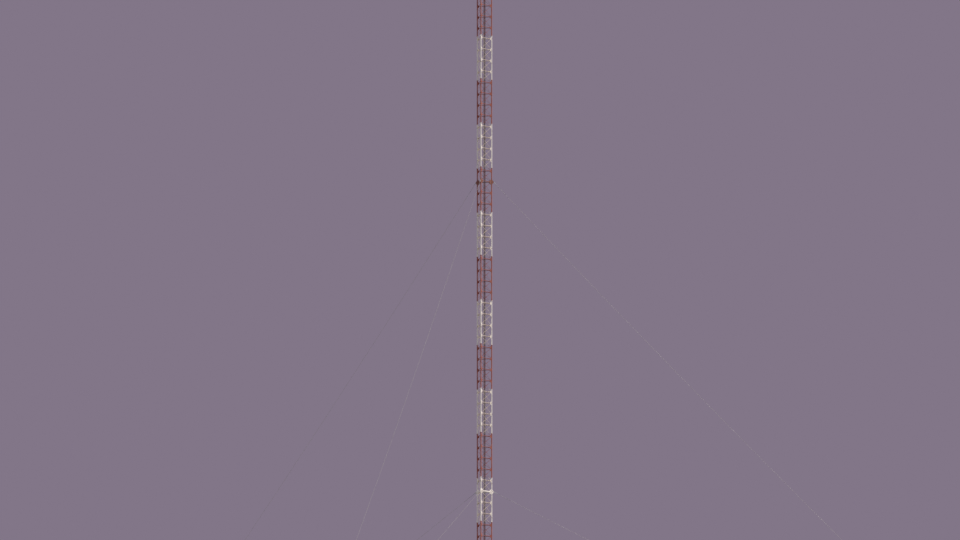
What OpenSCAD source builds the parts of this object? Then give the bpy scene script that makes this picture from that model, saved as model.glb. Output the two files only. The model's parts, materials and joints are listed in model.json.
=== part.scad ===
// Guyed lattice radio mast, triangular in plan, banded red and white.
// One tenth of the real size, shortened to seventeen painted sections with two sets of guys.
// The front leg points to -Y, the ladder runs up the face that looks to +Y, and the ground is z = 0.

/* [Mast] */
// Width of a face, from leg axis to leg axis
face_w = 300; // [240:10:400]
// Height of one painted section, from splice to splice
section_h = 900; // [800:20:1100]
// Lattice bays in the height of one section
bays = 4; // [3:1:5]
// Drop from a splice to the first strut below it
splice_drop = 60; // [40:5:90]
// Painted sections, red at the foot and at the top
section_count = 17; // [15:2:19]

/* [Legs] */
// Diameter of a leg
leg_d = 22; // [18:1:28]
// Diameter of the splice flange at a leg's end
flange_d = 40; // [34:1:50]
// Thickness of one splice flange
flange_t = 3; // [2:0.5:6]

/* [Bracing] */
// Diameter of a horizontal strut, across corners
strut_d = 10; // [8:0.5:13]
// Diameter of a bracing rod, across corners
rod_d = 4; // [3:0.25:5]
// Distance from the leg's node to the end of a rod, along the rod
rod_start = 24; // [20:1:28]
// Thickness of a gusset plate
gusset_t = 2; // [1.5:0.25:3]
// Reach of a gusset from the leg axis
gusset_w = 40; // [34:1:50]
// Height of a gusset at the leg
gusset_h = 68; // [56:2:90]

/* [Guy levels] */
// Section that carries the lower guys
lower_guy_section = 6; // [4:1:8]
// Section that carries the upper guys
upper_guy_section = 13; // [10:1:14]
// Diameter of the stronger struts at a guy level
guy_strut_d = 14; // [12:1:18]
// Reach of the larger gussets at a guy level
guy_gusset_w = 58; // [50:2:70]
// Height of the larger gussets at a guy level
guy_gusset_h = 104; // [90:2:130]
// Distance from the leg axis to the eye of a guy lug
lug_reach = 42; // [36:1:56]
// Thickness of a guy lug and of the anchor's fan plate
lug_t = 6; // [4:0.5:8]
// Height of a guy lug where it joins the leg
lug_h = 84; // [60:2:110]
// Radius of the plate round an eye
eye_r = 9; // [8:0.5:12]

/* [Guys] */
// Diameter of a guy
guy_d = 4; // [3:0.5:6]
// Distance from the mast axis to the anchors
guy_radius = 12300; // [10000:100:14000]
// Sag of a guy at mid-span, per thousand of its chord
guy_sag = 9; // [2:1:20]
// Diameter of a guy's end pin
pin_d = 6; // [5:0.5:8]
// Thickness of one cheek of a guy's end fork
cheek_t = 2.5; // [2:0.5:4]
// Width of the fork cheeks
fork_w = 14; // [12:1:18]
// Length from the pin to the root of the fork
fork_l = 20; // [18:1:30]
// Diameter of the socket at the mast end
socket_d = 10; // [8:1:12]
// Length of the socket at the mast end
socket_l = 44; // [30:2:60]
// Width of the turnbuckle's open body at the anchor end
turnbuckle_w = 15; // [13:0.5:18]
// Thickness of that body
turnbuckle_t = 8; // [6.5:0.5:10]
// Length of that body
turnbuckle_l = 96; // [70:2:130]
// Length of the body's solid ends
turnbuckle_end = 14; // [10:1:20]
// Width of the slot between its two side bars
turnbuckle_slot = 8; // [7:0.25:9]
// Diameter of the two screws that run in from its ends
screw_d = 5; // [4:0.25:6]
// Length of screw that shows in the slot, at each end
screw_in = 20; // [10:1:25]

/* [Ladder and feeder] */
// Width of the ladder over its stiles
ladder_w = 42; // [36:1:50]
// Width of one stile
stile_w = 5; // [4:0.5:7]
// Depth of the stiles
ladder_t = 5; // [4:0.5:7]
// Pitch of the rungs
rung_pitch = 30; // [25:1:40]
// Thickness of a rung
rung_h = 2.5; // [2:0.25:4]
// Number of ladder lengths
ladder_count = 4; // [2:1:6]
// Diameter of the feeder line
feeder_d = 16; // [10:1:20]
// Diameter of a feeder coupling
coupling_d = 21; // [17:1:22]
// Height of a feeder coupling
coupling_h = 8; // [4:1:14]
// Width of the brackets that hold the ladder and the feeder
bracket_w = 46; // [42:1:60]
// Height of those brackets
bracket_h = 7; // [5:0.5:10]

/* [Foot] */
// Width of the concrete pier
pier_w = 260; // [220:10:360]
// Height of the concrete pier
pier_h = 100; // [60:5:160]
// Chamfer along the top edges of pier and anchor blocks
chamfer = 8; // [4:1:15]
// Width of the bearing plate
bearing_w = 150; // [120:5:180]
// Thickness of the bearing plate
bearing_t = 6; // [4:1:10]
// Diameter of the post under the ball
post_d = 62; // [56:1:80]
// Height of the post under the ball
post_h = 12; // [8:1:30]
// Radius of the ball that the mast stands on
ball_r = 24; // [20:1:26]
// Diameter of the cup that sits on the ball
cup_d = 66; // [60:1:84]
// Steel above the ball in the cup
cup_crown = 8; // [5:0.5:14]
// Height of the ball that the cup leaves bare
ball_show = 7; // [4:0.5:10]
// Distance from the mast axis to the legs at the shoe
shoe_r = 34; // [28:1:45]
// Thickness of the shoe plate
shoe_t = 10; // [6:1:16]
// Margin of the shoe plate round the legs
shoe_margin = 6; // [3:1:12]
// Diameter of the ring at the knee where a leg turns upright
knee_d = 30; // [26:1:38]
// Height of that ring
knee_h = 12; // [8:1:20]
// Number of ribs round the cup, under the shoe plate
shoe_ribs = 6; // [3:3:9]
// Thickness of one of those ribs
shoe_rib_t = 5; // [3:0.5:8]
// Height of one of those ribs
shoe_rib_h = 18; // [10:1:21]

/* [Anchors] */
// Width of an anchor block
block_w = 300; // [240:10:400]
// Height of an anchor block above the ground
block_h = 70; // [50:5:120]
// Width of the anchor's base plate
foot_w = 96; // [84:2:140]
// Thickness of the anchor's base plate
foot_t = 6; // [4:1:10]
// Slope of the fan plate above the horizontal
fan_angle = 33; // [28:1:38]
// Distance from the base plate to the eyes, along the fan plate
fan_l = 120; // [90:5:160]
// Distance between the two eyes of a fan plate
eye_pitch = 44; // [34:1:60]
// Reach of the upright ribs on both sides of the fan plate
fan_rib_w = 36; // [24:1:40]
// Height of those ribs
fan_rib_h = 24; // [12:1:26]

/* [Top] */
// Thickness of the top plate
top_t = 5; // [4:0.5:8]
// Width of the top plate's three bars
top_bar_w = 26; // [20:1:36]
// Diameter of the disc that carries the beacon
beacon_seat_d = 70; // [60:2:90]
// Diameter of the beacon's post
beacon_post_d = 18; // [14:1:24]
// Height of the beacon's post
beacon_post_h = 60; // [30:5:120]
// Diameter of the beacon's lens
lens_d = 30; // [24:1:40]
// Height of the cylindrical part of the lens
lens_h = 34; // [20:2:60]
// Diameter of the lightning rod
finial_d = 5; // [3:0.5:8]
// Height of the lightning rod
finial_h = 320; // [200:10:500]
// Distance from the mast axis to the lightning rod
finial_reach = 110; // [60:5:130]
// Radius of each corner bolt hole in the top plate
top_hole_r = 2.5; // [2:0.25:3.5]
// Distance of those holes from the leg axis
top_hole_reach = 15; // [13:0.5:17]

/* [Hidden] */
// Gap that seats one piece on another, and gap round a pin
seat_gap = 0.3;
// Depth to which a rod is sunk into the gusset that it is welded to
weld = 0.5;
// Depth to which a rib of the shoe is rooted in the cup and the plate
rib_root = 3;
leg_count = 3;
leg_angles = [-90, 30, 150];
sides = ["front", "right", "left"];
red = [0.62, 0.29, 0.26];
white = [0.86, 0.83, 0.80];
leg_r = face_w / sqrt(3);
face_r = leg_r / 2;
bay_h = section_h / bays;
struts = [for (k = [bays - 1:-1:0]) section_h - splice_drop - k * bay_h];
rod_end = rod_start / norm([face_w, bay_h]);
welded = gusset_t / 2 + rod_d / 2 - weld;
seated = gusset_t / 2 + rod_d / 2 + seat_gap;
foot_z = pier_h + bearing_t + post_h + ball_r + seat_gap + cup_crown;
mast_top = foot_z + section_count * section_h;
taper_h = struts[bays - 2];
guy_sections = [lower_guy_section, upper_guy_section];
guy_strut = struts[bays - 2];
ladder_z = foot_z + taper_h - bracket_h;
ladder_y = face_r - guy_strut_d / 2 - seat_gap - ladder_t;
feeder_y = face_r + guy_strut_d / 2 + seat_gap + feeder_d / 2;
ladder_cuts = [for (k = [0:ladder_count])
  k == 0 ? ladder_z : foot_z + section_h * (1 + round((section_count - 1) * k / ladder_count))];
rope_sides = 8;
rope_rings = 12;
pin_hole_d = pin_d + 2 * seat_gap;
fork_gap = lug_t + 2 * seat_gap;
fork_t = fork_gap + 2 * cheek_t;
fan_dir = [-cos(fan_angle), 0, sin(fan_angle)];
fan_across = [sin(fan_angle), 0, cos(fan_angle)];
fan_foot = [guy_radius, 0, block_h + foot_t];

function band(n) = n % 2 == 1 ? red : white;
function two_digits(n) = str(n < 10 ? "0" : "", n);
function on_leg(i, r, z) = [r * cos(leg_angles[i]), r * sin(leg_angles[i]), z];
function foot_r(z) = z < taper_h ? shoe_r + (leg_r - shoe_r) * z / taper_h : leg_r;
// Ends of the guy of one level, in the upright plane through its leg
function guy_top(level) = [leg_r + lug_reach, 0, foot_z + (guy_sections[level] - 1) * section_h + guy_strut];
function guy_foot(level) = fan_foot + fan_l * fan_dir + (level - 0.5) * eye_pitch * fan_across;
// Point of a guy at the share f of its chord, which hangs in a shallow parabola
function guy_chord(level) = norm(guy_foot(level) - guy_top(level));
function on_guy(level, f) =
  guy_top(level) + (guy_foot(level) - guy_top(level)) * f
  - [0, 0, 4 * f * (1 - f) * guy_chord(level) * guy_sag / 1000];
function slope(v) = atan2(v.z, v.x);

// Straight bar from point a to point b
module bar(a, b, d, faces) {
  v = b - a;
  translate(a)
    rotate([0, acos(v.z / norm(v)), atan2(v.y, v.x)])
      cylinder(h = norm(v), d = d, $fn = faces);
}

// Square block with its top edges chamfered, the common part of two crossed prisms
module concrete_block(w, h) {
  intersection() {
    chamfer_prism(w, h);
    rotate([0, 0, 90])
      chamfer_prism(w, h);
  }
}

// Prism along Y with its two top edges cut at 45 degrees
module chamfer_prism(w, h) {
  c = chamfer;
  translate([0, w / 2 + 1, 0])
    rotate([90, 0, 0])
      linear_extrude(w + 2)
        polygon([[-w / 2, 0], [w / 2, 0], [w / 2, h - c], [w / 2 - c, h], [c - w / 2, h], [-w / 2, h - c]]);
}

// Frame of face i: x runs along it from leg axis to leg axis, y points out of the mast, z is up
module on_face(i) {
  rotate([0, 0, leg_angles[i] + 180 / leg_count - 90])
    translate([-face_w / 2, face_r, 0])
      children();
}

// Gusset at a leg, in the plane of the face, from the leg axis at x = 0
module gusset(w, h) {
  translate([0, gusset_t / 2, 0])
    rotate([90, 0, 0])
      linear_extrude(gusset_t)
        polygon([[0, -h / 2], [w / 3, -h / 2], [w, -h / 6], [w, h / 6], [w / 3, h / 2], [0, h / 2]]);
}

// Strut across a face at height z, with a gusset at each end
module strut(z, d, w, h) {
  bar([0, 0, z], [face_w, 0, z], d, 6);
  for (s = [0, 1])
    translate([s * face_w, 0, z])
      mirror([s, 0, 0])
        gusset(w, h);
}

// Two crossed rods above the strut at height z, on either side of the gussets.
// Their upper ends lie at the distance out from the plane of the face.
module crossed_rods(z, out) {
  for (s = [-1, 1]) {
    x = s > 0 ? rod_end * face_w : (1 - rod_end) * face_w;
    bar(
      [x, s * welded, z + rod_end * bay_h],
      [face_w - x, s * out, z + (1 - rod_end) * bay_h],
      rod_d, 6
    );
  }
}

// Bracket on the ladder face's strut, which holds the ladder inside and the feeder outside
module line_bracket(z) {
  translate([-bracket_w / 2, face_r - guy_strut_d / 2, z - bracket_h / 2])
    cube([bracket_w, guy_strut_d, bracket_h]);
}

// Lug that stands out from a leg, with the eye for a guy's pin
module guy_lug() {
  rotate([90, 0, 0])
    translate([0, 0, -lug_t / 2])
      linear_extrude(lug_t)
        difference() {
          union() {
            polygon([[0, -lug_h / 2], [leg_d / 2 + lug_t / 2, -lug_h / 2], [lug_reach, -eye_r],
              [lug_reach, eye_r], [leg_d / 2 + lug_t / 2, lug_h / 2], [0, lug_h / 2]]);
            translate([lug_reach, 0])
              circle(r = eye_r, $fn = 48);
          }
          translate([lug_reach, 0])
            circle(d = pin_hole_d, $fn = 32);
        }
}

// Splice flange on a leg, its lower face at height z
module flange(i, z) {
  translate(on_leg(i, leg_r, z))
    cylinder(h = flange_t, d = flange_d, $fn = 48);
}

// Struts, gussets and crossed rods from the strut number first up to the section's top
module face_bracing(n, first) {
  guyed = len(search(n, guy_sections)) > 0;
  for (i = [0:leg_count - 1])
    on_face(i)
      for (k = [first:bays - 1]) {
        strong = guyed && struts[k] == guy_strut;
        strut(
          struts[k],
          strong ? guy_strut_d : strut_d,
          strong ? guy_gusset_w : gusset_w,
          strong ? guy_gusset_h : gusset_h
        );
        if (k < bays - 1)
          crossed_rods(struts[k], welded);
        else if (n < section_count)
          crossed_rods(struts[k], seated);
      }
  for (k = [first:bays - 1])
    line_bracket(struts[k]);
}

// One straight section, number n from the foot
module lattice_section(n) {
  color(band(n))
    translate([0, 0, foot_z + (n - 1) * section_h]) {
      for (i = [0:leg_count - 1]) {
        translate(on_leg(i, leg_r, 0))
          cylinder(h = section_h, d = leg_d, $fn = 36);
        flange(i, 0);
        flange(i, section_h - flange_t);
        if (len(search(n, guy_sections)) > 0)
          translate(on_leg(i, leg_r, guy_strut))
            rotate([0, 0, leg_angles[i]])
              guy_lug();
      }
      face_bracing(n, 0);
    }
}

// Lowest section: its legs draw in to a shoe with a cup that sits on the ball
module base_section() {
  color(band(1))
    translate([0, 0, foot_z]) {
      for (i = [0:leg_count - 1]) {
        bar(on_leg(i, foot_r(shoe_t / 2), shoe_t / 2), on_leg(i, leg_r, taper_h), leg_d, 12);
        translate(on_leg(i, leg_r, taper_h)) {
          cylinder(h = section_h - taper_h, d = leg_d, $fn = 36);
          translate([0, 0, -knee_h / 2])
            cylinder(h = knee_h, d = knee_d, $fn = 36);
        }
        flange(i, section_h - flange_t);
        for (k = [0:bays - 3]) {
          j = (i + 1) % leg_count;
          low = struts[k];
          high = struts[k + 1];
          bar(on_leg(i, foot_r(low), low), on_leg(j, foot_r(low), low), strut_d, 6);
          bar(on_leg(i, foot_r(low), low), on_leg(j, foot_r(high), high), rod_d, 6);
          bar(on_leg(j, foot_r(low), low), on_leg(i, foot_r(high), high), rod_d, 6);
        }
      }
      cylinder(h = shoe_t, r = shoe_r + leg_d / 2 + shoe_margin, $fn = 64);
      cup();
      face_bracing(1, bays - 2);
    }
}

// Cup under the shoe plate, hollowed to the ball
module cup() {
  depth = cup_crown + seat_gap + ball_r - ball_show;
  for (k = [0:shoe_ribs - 1])
    rotate([90, 0, 180 / leg_count + 360 * k / shoe_ribs])
      translate([0, 0, -shoe_rib_t / 2])
        linear_extrude(shoe_rib_t)
          polygon([
            [cup_d / 2 - rib_root, rib_root],
            [cup_d / 2 - rib_root, -shoe_rib_h],
            [cup_d / 2 + rib_root, -shoe_rib_h],
            [shoe_r + leg_d / 2, 0],
            [shoe_r + leg_d / 2, rib_root]
          ]);
  difference() {
    translate([0, 0, -depth])
      cylinder(h = depth, d = cup_d, $fn = 64);
    translate([0, 0, -cup_crown - seat_gap - ball_r])
      sphere(r = ball_r + seat_gap, $fn = 64);
  }
}

// Bearing plate, post and ball on the pier
module pivot_pedestal() {
  color([0.45, 0.46, 0.46])
    translate([0, 0, pier_h]) {
      translate([-bearing_w / 2, -bearing_w / 2, 0])
        cube([bearing_w, bearing_w, bearing_t]);
      cylinder(h = bearing_t + post_h, d = post_d, $fn = 64);
      intersection() {
        translate([0, 0, bearing_t + post_h])
          sphere(r = ball_r, $fn = 64);
        cylinder(h = bearing_t + post_h + 2 * ball_r, d = post_d, $fn = 64);
      }
    }
}

module pier() {
  color([0.66, 0.64, 0.60])
    concrete_block(pier_w, pier_h);
}

// Three-armed plate bolted to the top flanges, with a disc in the middle for the beacon
module top_plate() {
  color(band(section_count))
    translate([0, 0, mast_top])
      difference() {
        linear_extrude(top_t)
          union() {
            for (i = [0:leg_count - 1]) {
              rotate(leg_angles[i]) {
                translate([leg_r, 0])
                  circle(d = flange_d, $fn = 48);
                translate([0, -top_bar_w / 2])
                  square([leg_r, top_bar_w]);
              }
            }
            circle(d = beacon_seat_d, $fn = 64);
          }
        for (i = [0:leg_count - 1])
          for (a = [60, 180, 300])
            translate(on_leg(i, leg_r, -1))
              rotate([0, 0, leg_angles[i] + a])
                translate([top_hole_reach, 0, 0])
                  cylinder(h = top_t + 2, r = top_hole_r, $fn = 24);
      }
}

// Double-walled obstruction light on its post
module beacon() {
  color([0.60, 0.08, 0.07])
    translate([0, 0, mast_top + top_t]) {
      cylinder(h = 4, d = beacon_seat_d - 16, $fn = 64);
      cylinder(h = beacon_post_h, d = beacon_post_d, $fn = 48);
      translate([0, 0, beacon_post_h]) {
        cylinder(h = 6, d = lens_d + 8, $fn = 64);
        cylinder(h = 6 + lens_h, d = lens_d, $fn = 64);
        translate([0, 0, 6 + lens_h])
          sphere(d = lens_d, $fn = 64);
      }
    }
}

// Lightning rod on the front arm of the top plate
module lightning_rod() {
  color([0.55, 0.50, 0.44])
    translate(on_leg(0, finial_reach, mast_top + top_t)) {
      cylinder(h = 5, d = 4 * finial_d, $fn = 48);
      cylinder(h = 30, d = 2 * finial_d, $fn = 36);
      cylinder(h = finial_h - 4 * finial_d, d = finial_d, $fn = 36);
      translate([0, 0, finial_h - 4 * finial_d])
        cylinder(h = 4 * finial_d, d1 = finial_d, d2 = 1, $fn = 36);
    }
}

// Feeder line up the outside of the ladder face, coupled at each splice
module feeder_line() {
  top = mast_top - splice_drop + bracket_h;
  color([0.20, 0.20, 0.21])
    translate([0, feeder_y, 0]) {
      translate([0, 0, ladder_z])
        cylinder(h = top - ladder_z, d = feeder_d, $fn = 48);
      for (n = [1:section_count - 1])
        translate([0, 0, foot_z + n * section_h - coupling_h / 2])
          cylinder(h = coupling_h, d = coupling_d, $fn = 48);
    }
}

// Ladder length number k, cut as one flat frame
module ladder(k) {
  low = ladder_cuts[k - 1];
  high = ladder_cuts[k] - (k == ladder_count ? splice_drop - bracket_h : 0);
  first = ceil((low - ladder_z + stile_w) / rung_pitch);
  last = floor((high - ladder_z - stile_w) / rung_pitch);
  color(white)
    translate([0, ladder_y + ladder_t, 0])
      rotate([90, 0, 0])
        linear_extrude(ladder_t)
          difference() {
            translate([-ladder_w / 2, low])
              square([ladder_w, high - low]);
            translate([-ladder_w / 2 + stile_w, 0])
              for (j = [first - 1:last]) {
                bottom = j < first ? low - 1 : ladder_z + j * rung_pitch + rung_h / 2;
                top = j == last ? high + 1 : ladder_z + (j + 1) * rung_pitch - rung_h / 2;
                translate([0, bottom])
                  square([ladder_w - 2 * stile_w, top - bottom]);
              }
          }
}

// Fork with its pin, the pin at the origin and the guy leaving along +X
module fork() {
  for (s = [-1, 1])
    translate([0, s * (fork_gap + cheek_t) / 2 + cheek_t / 2, 0])
      rotate([90, 0, 0])
        linear_extrude(cheek_t)
          union() {
            circle(d = fork_w, $fn = 36);
            translate([0, -fork_w / 2])
              square([fork_l, fork_w]);
          }
  translate([fork_l - 7, -fork_t / 2, -fork_w / 2])
    cube([7, fork_t, fork_w]);
  translate([0, fork_t / 2 + 1.5, 0])
    rotate([90, 0, 0])
      cylinder(h = fork_t + 3, d = pin_d, $fn = 32);
}

// Open turnbuckle along +X, with a screw in each end of its slot
module turnbuckle() {
  w = turnbuckle_w / 2;
  l = turnbuckle_l;
  c = turnbuckle_end / 2;
  translate([0, 0, -turnbuckle_t / 2])
    linear_extrude(turnbuckle_t)
      difference() {
        polygon([[-1, -w / 2], [0, -w / 2], [c, -w], [l - c, -w], [l, -w / 2],
          [l, w / 2], [l - c, w], [c, w], [0, w / 2], [-1, w / 2]]);
        translate([turnbuckle_end, -turnbuckle_slot / 2])
          square([l - 2 * turnbuckle_end, turnbuckle_slot]);
      }
  for (x = [c, l - turnbuckle_end - screw_in])
    translate([x, 0, 0])
      rotate([0, 90, 0])
        cylinder(h = c + screw_in, d = screw_d, $fn = 24);
}

// Rope that follows the guy's curve, swept with a ring at each step
module rope(level) {
  first = (fork_l - 3) / guy_chord(level);
  last = 1 - (fork_l + turnbuckle_l - turnbuckle_end / 4) / guy_chord(level);
  steps = [for (k = [0:rope_rings]) first + (last - first) * k / rope_rings];
  rings = [for (f = steps)
    let (
      c = on_guy(level, f),
      a = slope(on_guy(level, f + 0.001) - on_guy(level, f - 0.001))
    )
    for (j = [0:rope_sides - 1])
      let (t = 360 * j / rope_sides)
      c + guy_d / 2 * [-sin(a) * cos(t), sin(t), cos(a) * cos(t)]];
  walls = [for (k = [0:rope_rings - 1], j = [0:rope_sides - 1])
    let (p = k * rope_sides, q = (j + 1) % rope_sides)
    each [[p + j, p + q, p + rope_sides + q], [p + j, p + rope_sides + q, p + rope_sides + j]]];
  polyhedron(
    points = rings,
    faces = concat(
      walls,
      [[for (j = [rope_sides - 1:-1:0]) j]],
      [[for (j = [0:rope_sides - 1]) rope_rings * rope_sides + j]]
    ),
    convexity = 4
  );
}

// Guy of one level on side i, with a socket at the mast and a turnbuckle at the anchor
module guy(level, i) {
  color([0.40, 0.41, 0.42])
    rotate([0, 0, leg_angles[i]]) {
      translate(guy_top(level))
        rotate([0, -slope(on_guy(level, 0.01) - on_guy(level, 0)), 0]) {
          fork();
          translate([fork_l - 1, 0, 0])
            rotate([0, 90, 0])
              cylinder(h = socket_l, d = socket_d, $fn = 36);
        }
      translate(guy_foot(level))
        rotate([0, -slope(on_guy(level, 0.99) - on_guy(level, 1)), 0]) {
          fork();
          translate([fork_l, 0, 0])
            turnbuckle();
        }
      rope(level);
    }
}

// Base plate and sloping fan plate on side i, with one eye for each guy
module anchor_head(i) {
  color([0.45, 0.46, 0.46])
    rotate([0, 0, leg_angles[i]]) {
      translate([guy_radius - foot_w / 2, -foot_w / 2, block_h])
        cube([foot_w, foot_w, foot_t]);
      translate(fan_foot)
        rotate([90, 0, 0])
          translate([0, 0, -lug_t / 2])
            linear_extrude(lug_t)
              fan_outline();
      translate(fan_foot - [foot_w / 8 + lug_t / 2, 0, 0])
        rotate([90, 0, 90])
          linear_extrude(lug_t)
            polygon([[-fan_rib_w, -foot_t / 2], [fan_rib_w, -foot_t / 2], [fan_rib_w, lug_t / 2],
              [lug_t, fan_rib_h], [-lug_t, fan_rib_h], [-fan_rib_w, lug_t / 2]]);
    }
}

// Outline of the fan plate: x is away from the mast, y is up
module fan_outline() {
  w = eye_pitch / 2;
  along = [fan_dir.x, fan_dir.z];
  across = [fan_across.x, fan_across.z];
  difference() {
    union() {
      polygon([
        [-foot_w / 3, -foot_t / 2],
        along * fan_l / 2 - across * w,
        along * fan_l - across * w,
        along * fan_l + across * w,
        along * fan_l / 2 + across * w,
        [foot_w / 3, -foot_t / 2]
      ]);
      for (s = [-1, 1])
        translate(along * fan_l + across * s * w)
          circle(r = eye_r, $fn = 48);
    }
    for (s = [-1, 1])
      translate(along * fan_l + across * s * w)
        circle(d = pin_hole_d, $fn = 32);
  }
}

module anchor_block(i) {
  color([0.66, 0.64, 0.60])
    rotate([0, 0, leg_angles[i]])
      translate([guy_radius, 0, 0])
        concrete_block(block_w, block_h);
}

pier();
pivot_pedestal();
base_section();
for (n = [2:section_count])
  lattice_section(n);
top_plate();
beacon();
lightning_rod();
feeder_line();
for (k = [1:ladder_count])
  ladder(k);
for (i = [0:leg_count - 1]) {
  guy(0, i);
  guy(1, i);
  anchor_head(i);
  anchor_block(i);
}
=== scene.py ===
import json
from math import atan2, cos, pi, radians, sin, sqrt
import bmesh
import bpy
from mathutils import Matrix, Vector


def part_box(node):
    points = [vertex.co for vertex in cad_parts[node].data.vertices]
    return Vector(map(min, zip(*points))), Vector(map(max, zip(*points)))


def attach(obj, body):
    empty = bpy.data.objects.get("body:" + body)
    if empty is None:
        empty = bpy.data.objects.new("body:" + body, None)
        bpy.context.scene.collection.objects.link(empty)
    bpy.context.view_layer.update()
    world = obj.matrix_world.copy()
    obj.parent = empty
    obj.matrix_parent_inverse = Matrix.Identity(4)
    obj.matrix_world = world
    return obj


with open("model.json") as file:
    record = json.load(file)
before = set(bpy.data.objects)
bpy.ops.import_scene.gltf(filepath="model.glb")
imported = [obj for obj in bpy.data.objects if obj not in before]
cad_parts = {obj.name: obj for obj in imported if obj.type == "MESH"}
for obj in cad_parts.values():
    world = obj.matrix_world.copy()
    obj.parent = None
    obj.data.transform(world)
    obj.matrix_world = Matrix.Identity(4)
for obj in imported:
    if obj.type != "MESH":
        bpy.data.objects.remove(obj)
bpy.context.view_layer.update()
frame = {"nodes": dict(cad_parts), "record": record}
print("stage: frame loaded,", len(frame["nodes"]), "nodes")

# The mast's sizes in metres, as its solids have them
mast = {
    "face": 0.300,
    "section": 0.900,
    "sections": 17,
    "bays": 4,
    "spliceDrop": 0.060,
    "foot": 0.1503,
    "kneeHeight": 0.615,
    "shoeReach": 0.034,
    "legRadius": 0.011,
    "flangeThickness": 0.003,
    "gussetThickness": 0.002,
    "gussetHeight": 0.068,
    "guyGussetHeight": 0.104,
    "strutDiameter": 0.010,
    "guyStrutDiameter": 0.014,
    "guySections": (6, 13),
    "topPlate": 0.005,
    "footPlate": 0.006,
    "lugThickness": 0.006,
}
guys = {
    "angles": (-90, 30, 150),
    "radius": 12.300,
    "lugReach": 0.042,
    "fanAngle": 33,
    "fanLength": 0.120,
    "eyePitch": 0.044,
    "fanFoot": 0.076,
    "sag": 0.009,
    "forkWidth": 0.0116,
    "socketEnd": 0.063,
    "turnbuckleStart": 0.020,
    "turnbuckleEnd": 0.116,
}
legReach = mast["face"] / sqrt(3)
faceReach = legReach / 2
bayHeight = mast["section"] / mast["bays"]
kneeHeight = mast["foot"] + mast["kneeHeight"]
mastTop = mast["foot"] + mast["sections"] * mast["section"]
topFace = mastTop + mast["topPlate"]
strutDrop = mast["spliceDrop"] + bayHeight
firstStrut = mast["foot"] + mast["section"] - strutDrop
strutRows = (mast["sections"] - 1) * mast["bays"] + 2
guyRows = [mast["foot"] + number * mast["section"] - strutDrop for number in mast["guySections"]]


def towards(angle, reach, z=0.0):
    return Vector((reach * cos(radians(angle)), reach * sin(radians(angle)), z))


# Where a guy's two pins are, in the upright plane through its anchor
def guyEnds(level):
    fan = radians(guys["fanAngle"])
    out = Vector((-cos(fan), 0.0, sin(fan)))
    across = Vector((sin(fan), 0.0, cos(fan)))
    top = Vector((legReach + guys["lugReach"], 0.0, guyRows[level]))
    foot = Vector((guys["radius"], 0.0, guys["fanFoot"]))
    foot = foot + guys["fanLength"] * out + (level - 0.5) * guys["eyePitch"] * across
    return top, foot


def guyPoint(level, share):
    top, foot = guyEnds(level)
    drop = 4 * share * (1 - share) * (foot - top).length * guys["sag"]
    return top.lerp(foot, share) - Vector((0.0, 0.0, drop))


# Small helpers for every node tree
def addNode(tree, kind, values=None, **settings):
    node = tree.nodes.new(kind)
    for key, value in settings.items():
        setattr(node, key, value)
    for key, value in (values or {}).items():
        feed(tree, node.inputs[key], value)
    return node


def feed(tree, socket, value):
    if isinstance(value, bpy.types.NodeSocket):
        tree.links.new(value, socket)
    else:
        socket.default_value = value


def maths(tree, operation, a, b=0.0):
    return addNode(tree, "ShaderNodeMath", {0: a, 1: b}, operation=operation).outputs[0]


def add(tree, a, b):
    return maths(tree, "ADD", a, b)


def minus(tree, a, b):
    return maths(tree, "SUBTRACT", a, b)


def times(tree, a, b):
    return maths(tree, "MULTIPLY", a, b)


def vectorMaths(tree, operation, values):
    return addNode(tree, "ShaderNodeVectorMath", values, operation=operation).outputs


def addObject(name, data):
    thing = bpy.data.objects.new(name, data)
    bpy.context.scene.collection.objects.link(thing)
    return thing


# Small helpers for surfaces
def startSurface(name, roughness=0.6, metallic=0.0):
    surface = bpy.data.materials.new(name)
    surface.use_nodes = True
    tree = surface.node_tree
    shader = tree.nodes["Principled BSDF"]
    shader.inputs["Roughness"].default_value = roughness
    shader.inputs["Metallic"].default_value = metallic
    return surface, tree, addNode(tree, "ShaderNodeTexCoord").outputs["Object"]


def noise(tree, place, scale, detail=4.0, stretch=(1.0, 1.0, 1.0)):
    mapped = addNode(tree, "ShaderNodeMapping", {"Vector": place, "Scale": stretch}).outputs[0]
    values = {"Vector": mapped, "Scale": scale, "Detail": detail}
    return addNode(tree, "ShaderNodeTexNoise", values).outputs["Fac"]


# Spreads the part between low and high. In the looks below, a pair or a four is its limits
def remap(tree, value, low, high, toLow=0.0, toHigh=1.0, **settings):
    values = {"Value": value, "From Min": low, "From Max": high, "To Min": toLow, "To Max": toHigh}
    return addNode(tree, "ShaderNodeMapRange", values, **settings).outputs["Result"]


# Links a surface's colour and relief, and its roughness where that follows a share
def finishSurface(surface, look, colour, relief, share=None):
    tree = surface.node_tree
    shader = tree.nodes["Principled BSDF"]
    tree.links.new(colour, shader.inputs["Base Color"])
    if share is not None:
        tree.links.new(remap(tree, share, *look["roughness"]), shader.inputs["Roughness"])
    strength, distance = look["bump"]
    bump = addNode(tree, "ShaderNodeBump", {"Height": relief, "Strength": strength, "Distance": distance})
    tree.links.new(bump.outputs["Normal"], shader.inputs["Normal"])
    return surface


def clouds(tree, place, scale, low, high, toLow=0.0, toHigh=1.0, detail=4.0, stretch=(1.0, 1.0, 1.0)):
    return remap(tree, noise(tree, place, scale, detail, stretch), low, high, toLow, toHigh)


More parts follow.
